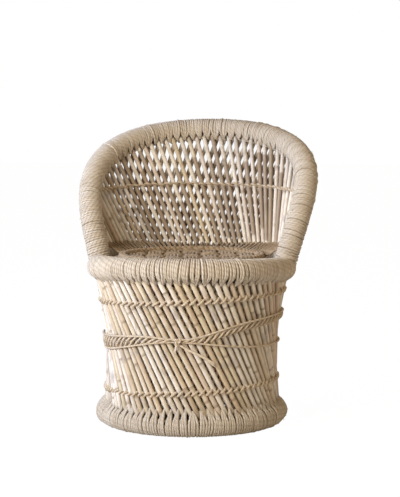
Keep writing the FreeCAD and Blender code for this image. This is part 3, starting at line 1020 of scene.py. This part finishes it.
def knot_route():
    """A trefoil: the cord crosses itself three times, over and under."""
    out = surface_normal(KNOT_ANGLE, KNOT_HEIGHT)
    along = onward(KNOT_ANGLE)
    up = along.cross(out)
    middle = face_point(1, KNOT_ANGLE, KNOT_HEIGHT, KNOT_PROUD_SHARE * CORD_RADIUS)
    route = []
    for i in range(KNOT_STEPS):
        turn = FULL_TURN * i / KNOT_STEPS
        across = math.sin(turn) + 2 * math.sin(2 * turn)
        rise = math.cos(turn) - 2 * math.cos(2 * turn)
        over = -math.sin(3 * turn) * KNOT_DEPTH_SHARE
        route.append(middle + (along * across + up * rise + out * over) * KNOT_SIZE)
    return route


knot_twine = fibre_cord("knot_twine", TWINE, lays=22.0, runs=6.0)
cord_piece("waist_knot_twine", [knot_route()], CORD_RADIUS, knot_twine, "twine", "waist_knot",
           closed=True, roundness=3)

FRAY_THREADS = 8
FRAY_RADIUS = 0.0008
FRAY_SPREAD = 0.0026
FRAY_OUTWARD_SHARES = (-0.4, 0.1)
FRAY_START_SHARE = 0.3
FRAY_OPENING_SHARE = 0.4
FRAY_OVERHANG_SHARES = (0.03, 0.10)


def tail_end(name, route, length, node):
    """A loose end of the lacing, its plies opening out towards the end where it was cut."""
    fibre = fibre_cord(name + "_fibre", TAIL, lays=length / ROPE_LAY, runs=5.0)
    tail = cord_piece(name, [route], TAIL_DIAMETER / 2, fibre, "twine", node, roundness=3)
    chance = random.Random(len(route))
    points = [Vector(point) for point in route]
    run = (points[-1] - points[-2]).normalized()
    threads = []
    for k in range(FRAY_THREADS):
        shares = chance.uniform(-1, 1), chance.uniform(*FRAY_OUTWARD_SHARES), chance.uniform(-1, 1)
        spread = Vector(shares) * FRAY_SPREAD
        thread = [point + spread * (FRAY_START_SHARE + FRAY_OPENING_SHARE * i / len(points))
                  for i, point in enumerate(points)]
        thread.append(points[-1] + run * length * chance.uniform(*FRAY_OVERHANG_SHARES) + spread)
        threads.append(thread)
    return tail, cord_piece(name + "_fray", threads, FRAY_RADIUS, fibre, "twine")


long_tail, long_fray = tail_end("waist_tail_long_twine", LONG_TAIL_ROUTE, LONG_TAIL_LENGTH,
                                "waist_tail_long")
tail_end("waist_tail_short_twine", SHORT_TAIL_ROUTE, SHORT_TAIL_LENGTH, "waist_tail_short")


# Woven seat

WEAVE_UNDER_BRAID_SHARE = 0.6
WEAVE_BAND_ROPES = 4
WEAVE_BAND_SPACING = 0.0315
WEAVE_ROPE_RADIUS = 0.0032
WEAVE_ROPE_PITCH = 0.0060
WEAVE_RELIEF = 0.0040
WEAVE_LUMPS = (0.75, 1.1)
WEAVE_SAG = 0.003
WEAVE_BELOW_BRAID = 0.0045
WEAVE_STRAY = 0.0009
WEAVE_STEPS = 6
WEAVE_TURN = math.radians(9.0)
weave_radius = braid_ring_radius - braid_radius * WEAVE_UNDER_BRAID_SHARE
weave_middle = braid_high.z - WEAVE_BELOW_BRAID - WEAVE_RELIEF - WEAVE_ROPE_RADIUS


def woven_rope(first, second, offset, over, lumps, chance):
    """One rope of the seat, over (1) or under (-1) where it crosses the middle."""
    half = math.sqrt(weave_radius ** 2 - offset ** 2)
    steps = int(2 * half / WEAVE_BAND_SPACING * WEAVE_STEPS)
    route = []
    for i in range(steps + 1):
        at = -half + 2 * half * i / steps
        lump = lumps[int((at + weave_radius) / WEAVE_BAND_SPACING)]
        weave = math.cos(math.pi * at / WEAVE_BAND_SPACING) * over
        rise = math.copysign(math.sqrt(abs(weave)), weave) * lump
        dish = WEAVE_SAG * (1 - (at ** 2 + offset ** 2) / weave_radius ** 2)
        level = weave_middle - dish + rise * WEAVE_RELIEF
        aside = offset + chance.uniform(-WEAVE_STRAY, WEAVE_STRAY)
        route.append(axis + first * at + second * aside + UP * level)
    return route


def woven_routes(first, second, over, chance):
    """Bands of ropes along one direction of the seat, over and under those of the other."""
    routes = []
    count = int(weave_radius / WEAVE_BAND_SPACING)
    for k in range(-count, count + 1):
        lumps = [chance.uniform(*WEAVE_LUMPS) for i in range(2 * count + 3)]
        for rope in range(WEAVE_BAND_ROPES):
            offset = k * WEAVE_BAND_SPACING + (rope - (WEAVE_BAND_ROPES - 1) / 2) * WEAVE_ROPE_PITCH
            if abs(offset) <= weave_radius - WEAVE_ROPE_PITCH:
                routes.append(woven_rope(first, second, offset, over if k % 2 else -over, lumps, chance))
    return routes


# Heights over which the painted shade low in the seat's weave fades out
seat_shade_heights = (weave_middle - WEAVE_SAG - WEAVE_RELIEF, weave_middle + WEAVE_RELIEF)
seat_fibre = fibre_cord("seat_rope_fibre", SEAT_SHADED, lays=26.0, runs=14.0, shade_heights=seat_shade_heights)
seat_across = onward(-WEAVE_TURN)
seat_deep = UP.cross(seat_across)
weave_routes = woven_routes(seat_across, seat_deep, 1, random.Random(41))
weave_routes += woven_routes(seat_deep, seat_across, -1, random.Random(42))
cord_piece("seat_weave_rope", weave_routes, WEAVE_ROPE_RADIUS, seat_fibre, "seat_rope", "seat_weave")

BRAID_STRANDS = 3
BRAID_PLAITS = 24
BRAID_STEPS = 16
BRAID_ROPE_RADIUS = 0.0034
BRAID_WIDTH_SHARE = 1.2
BRAID_RISE_SHARE = 0.85


def braid_route(strand):
    """One rope of the braid, which sways in and out and up and down round the seat's edge."""
    play = braid_radius - BRAID_ROPE_RADIUS
    steps = BRAID_PLAITS * BRAID_STEPS
    route = []
    for i in range(steps):
        turn = FULL_TURN * i / steps
        phase = BRAID_PLAITS * turn + FULL_TURN * strand / BRAID_STRANDS
        radius = braid_ring_radius + play * BRAID_WIDTH_SHARE * math.sin(phase)
        level = braid_height + play * BRAID_RISE_SHARE * math.sin(2 * phase)
        route.append(place(turn, radius, level))
    return route


braid_routes = [braid_route(strand) for strand in range(BRAID_STRANDS)]
braid_fibre = fibre_cord("seat_braid_fibre", SEAT_SHADED, lays=110.0, runs=60.0)
cord_piece("seat_braid_rope", braid_routes, BRAID_ROPE_RADIUS, braid_fibre, "seat_rope", "seat_edge_braid",
           closed=True, roundness=2)

# Border: strands that fan out from the braid to the reeds of the wall, or into a rim
BORDER_ROPE_RADIUS = 0.0019
BORDER_BACK_CLIMB = 0.002
BORDER_SIDE_CLIMB = 0.014
BORDER_ABOVE_RIM_MIDDLE = 0.009
BORDER_START_DROP = 0.003
BORDER_DRIFT_SHARE = 0.4
BORDER_STEPS = 24


def border_end(angle, start):
    """Where a border strand meets the wall, or the rope of a rim that stands in its way."""
    at_back = abs(from_back(angle)) < seat_end
    climb = BORDER_BACK_CLIMB + (BORDER_SIDE_CLIMB - BORDER_BACK_CLIMB) * math.sin(angle) ** 2
    height = braid_high.z + climb if at_back else seat_rim_height(angle) + BORDER_ABOVE_RIM_MIDDLE
    wall = place(angle, layer_radius(-1, height, BACK_REED_DIAMETER), height)
    for step in range(BORDER_STEPS + 1):
        point = start.lerp(wall, step / BORDER_STEPS)
        to_rim = min(nearest_on(line, point)[2] for line in (back_line, seat_line))
        if to_rim < RIM_RADIUS - ROPE_RADIUS:
            return point
    return wall


def border_strand(angle, half, chance):
    """A strand that comes from under the braid and aims between two reeds."""
    between = angle + half
    drift = chance.uniform(-1, 1) * BORDER_DRIFT_SHARE * half
    height = braid_height - BORDER_START_DROP
    start = place(between + drift, braid_ring_radius + braid_radius, height)
    end = border_end(between, start)
    return [place(between, braid_ring_radius, height), start, start.lerp(end, 0.5), end]


under_rim = tilted(SEAT_RIM_HEIGHT - 2 * RIM_RADIUS, 0.0)
border_chance = random.Random(51)
border_routes = [border_strand(angle, half, border_chance) for angle, half in reeds_at(-1, under_rim)]
border_fibre = fibre_cord("seat_border_fibre", SEAT_SHADED, lays=5.0, runs=3.0)
cord_piece("seat_border_rope", border_routes, BORDER_ROPE_RADIUS, border_fibre, "seat_rope")


# Floor and world

FLOOR_SIZE = 12.0
FLOOR_COLOUR = (0.62, 0.59, 0.54)
FLOOR_GLOW = 1.06
FLOOR_SHADOW = 0.07
AMBIENT = 0.195
WARM_AMBIENT = (1.0, 0.72, 0.43)


def seen_rays(tree):
    """1 on rays from the camera, and on those that a glossy or clear piece sends on, and 0 on others."""
    rays = new_node(tree, "LightPath").outputs
    seen = math_node(tree, "MAXIMUM", rays["Is Camera Ray"], rays["Is Glossy Ray"])
    return math_node(tree, "MAXIMUM", seen, rays["Is Transmission Ray"])


def floor_white():
    """Pale floor that the camera sees as white, with the chair's shadow on it and dark under the drum."""
    material = bpy.data.materials.new("pale_floor")
    material.use_nodes = True
    tree = material.node_tree
    tree.nodes.clear()
    glow = new_node(tree, "Emission", {"Color": WHITE, "Strength": FLOOR_GLOW})
    matt = new_node(tree, "BsdfDiffuse", {"Color": FLOOR_COLOUR})
    from_axis = new_node(tree, "VectorMath", {0: object_place(tree), 1: axis}, operation="DISTANCE")
    drum_radius = middle_radius(base_rim_height)
    outside = ramp(tree, from_axis.outputs["Value"], drum_radius - RIM_RADIUS, drum_radius,
                   end=1 - FLOOR_SHADOW)
    white = math_node(tree, "MULTIPLY", seen_rays(tree), outside)
    mix = new_node(tree, "MixShader", enumerate((white, matt.outputs[0], glow.outputs[0])))
    new_node(tree, "OutputMaterial", {"Surface": mix.outputs[0]})
    return material


def studio_world():
    """Warm even light on the chair, and a background that the camera sees as white."""
    world = bpy.data.worlds.new("studio")
    world.use_nodes = True
    tree = world.node_tree
    background = tree.nodes["Background"]
    seen = seen_rays(tree)
    tree.links.new(mix_colour(tree, seen, WARM_AMBIENT, WHITE), background.inputs["Color"])
    tree.links.new(ramp(tree, seen, 0.0, 1.0, start=AMBIENT), background.inputs["Strength"])
    return world


floor_shape = bmesh.new()
bmesh.ops.create_grid(floor_shape, x_segments=1, y_segments=1, size=FLOOR_SIZE)
floor = mesh_object("floor", floor_shape, floor_white())
bpy.context.scene.world = studio_world()


# Lamps and camera

CHAIR_MIDDLE_HEIGHT = 0.25
INSIDE_RIGHT_ANGLE = math.radians(58.0)
INSIDE_RIGHT_HEIGHT = 0.325
chair_middle = axis + UP * CHAIR_MIDDLE_HEIGHT
inside_right = place(INSIDE_RIGHT_ANGLE, middle_radius(INSIDE_RIGHT_HEIGHT), INSIDE_RIGHT_HEIGHT)


def aimed(name, data, stand, aim):
    """A lamp or camera that looks from where it stands to a point."""
    thing = into_scene(name, data)
    thing.location = stand
    thing.rotation_euler = (aim - stand).to_track_quat("-Z", "Y").to_euler()
    return thing


def lamp(name, kind, stand, aim, power, colour):
    data = bpy.data.lights.new(name, kind)
    data.energy = power
    data.color = colour
    aimed(name, data, Vector(stand), aim)
    return data


def soft_box(name, stand, size, power, colour):
    """A square lamp that faces the chair."""
    lamp(name, "AREA", stand, chair_middle, power, colour).size = size


soft_box("key", (-1.05, -1.6, 0.92), size=0.9, power=36.5, colour=(1.0, 0.98, 0.94))
soft_box("side_window", (-2.2, -0.55, 1.1), size=1.4, power=30.0, colour=(0.62, 0.94, 1.66))
soft_box("right_fill", (2.3, -1.2, 0.8), size=1.6, power=15.0, colour=(1.0, 0.86, 0.64))
upper_window = lamp("upper_window", "SPOT", (-1.3, -1.5, 1.5), inside_right, power=95.0,
                    colour=(1.0, 0.96, 0.84))
upper_window.shadow_soft_size = 0.12
upper_window.spot_size = math.radians(6.6)
upper_window.spot_blend = 1.0

# Camera: a long lens in front, a little to the right and a little above the seat
CAMERA_TURN = math.radians(8.9)
CAMERA_RISE = math.radians(6.2)
CAMERA_DISTANCE = 2.6
FOCAL_PIXELS = 1530.0
IMAGE_WIDTH = 400.0
AIM_RIGHT = 0.0146
AIM_UP = 0.0433
SENSOR = 36.0
level_share = math.cos(CAMERA_RISE)
away = Vector((math.sin(CAMERA_TURN) * level_share, -math.cos(CAMERA_TURN) * level_share,
               math.sin(CAMERA_RISE)))
right = onward(-CAMERA_TURN)
camera_aim = chair_middle + right * AIM_RIGHT + away.cross(right) * AIM_UP
long_lens = bpy.data.cameras.new("camera")
long_lens.sensor_fit = "HORIZONTAL"
long_lens.sensor_width = SENSOR
long_lens.lens = SENSOR * FOCAL_PIXELS / IMAGE_WIDTH
bpy.context.scene.camera = aimed("camera", long_lens, chair_middle + away * CAMERA_DISTANCE, camera_aim)

bpy.context.scene.view_settings.view_transform = "Standard"
